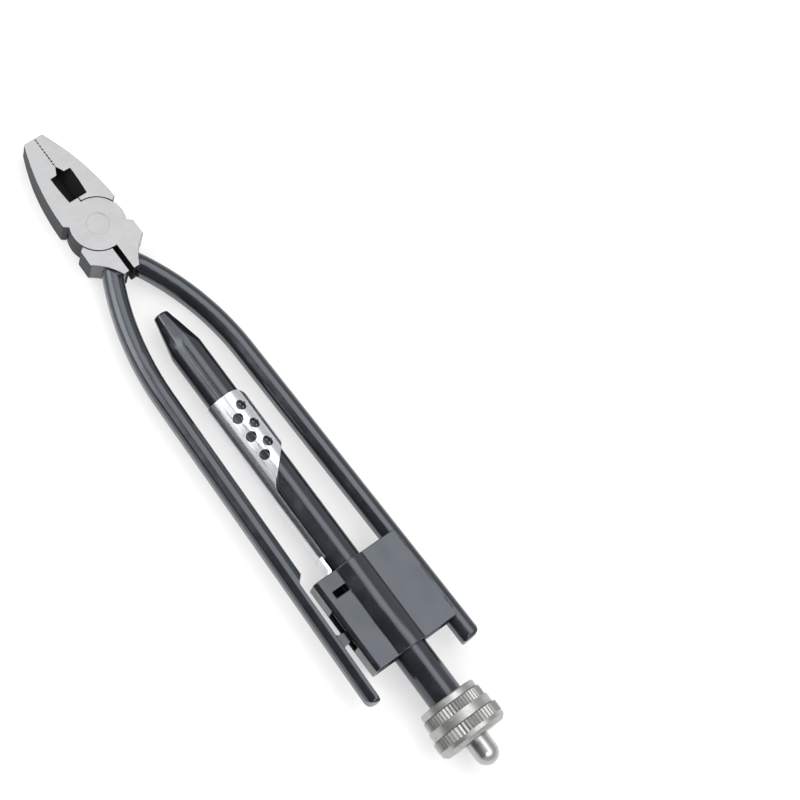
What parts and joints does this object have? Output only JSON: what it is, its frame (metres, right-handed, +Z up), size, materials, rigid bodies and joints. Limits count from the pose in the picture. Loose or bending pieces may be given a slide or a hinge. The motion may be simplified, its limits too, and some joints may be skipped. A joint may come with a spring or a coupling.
{
  "type": "safety wire pliers",
  "caption": "Lap-jointed pliers with serrated jaws and a cutter, a pull-knob spiral twister in a barrel between the handles, and a perforated sliding handle latch.",
  "frame": {"origin": "middle of the tool's length and width, at the level of its lowest point, with the tool lying flat", "axes": "+X along the tool to the jaws, +Y to the handle with the hook, +Z up out of the front face"},
  "size_m": [0.2666, 0.0468, 0.0256],
  "materials": {
    "forged_lever": "gloss black handles with satin ground head faces",
    "ground_steel": "satin ground",
    "zinc_plate": "bright zinc plated",
    "gloss_black": "gloss black",
    "satin_nickel": "satin nickel plated",
    "polished_steel": "polished",
    "bronze": "machined",
    "spring_steel": "drawn wire"
  },
  "bodies": {
    "front_half": {"front_lever": "forged_lever", "pivot_rivet": "ground_steel", "housing_shell": "gloss_black", "housing_welds": "gloss_black", "barrel": "gloss_black", "nut_tube": "gloss_black", "drive_nut": "bronze", "spring_washer": "spring_steel", "return_spring": "spring_steel"},
    "rear_half": {"rear_lever": "forged_lever", "latch_hook": "gloss_black", "hook_weld": "gloss_black"},
    "latch": {"latch_slide": "zinc_plate"},
    "seat": {"spring_seat": "ground_steel"},
    "spindle": {"twist_spindle": "ground_steel", "spindle_clip": "spring_steel", "pull_knob": "satin_nickel", "end_post": "polished_steel"}
  },
  "joints": [
    {"name": "jaw_pivot", "type": "hinge", "parent": "front_half", "child": "rear_half", "pos_m": [0.0953, 0, 0.0128], "axis": [0, 0, -1], "range_deg": [0, 30]},
    {"name": "latch_lock", "type": "slide", "parent": "front_half", "child": "latch", "axis": [-1, 0, 0], "range_m": [0, 0.0045]},
    {"name": "knob_pull", "type": "slide", "parent": "front_half", "child": "seat", "axis": [-1, 0, 0], "range_m": [0, 0.08], "stiffness_N_per_m": 60, "springref_m": -0.02, "deforming": ["return_spring"]},
    {"name": "spindle_turn", "type": "hinge", "parent": "seat", "child": "spindle", "pos_m": [0, 0, 0.0128], "axis": [-1, 0, 0], "range_deg": [0, 901]}
  ],
  "couplings": [
    {"joint": "spindle_turn", "follows": "knob_pull", "rad_per_m": 196.35}
  ]
}
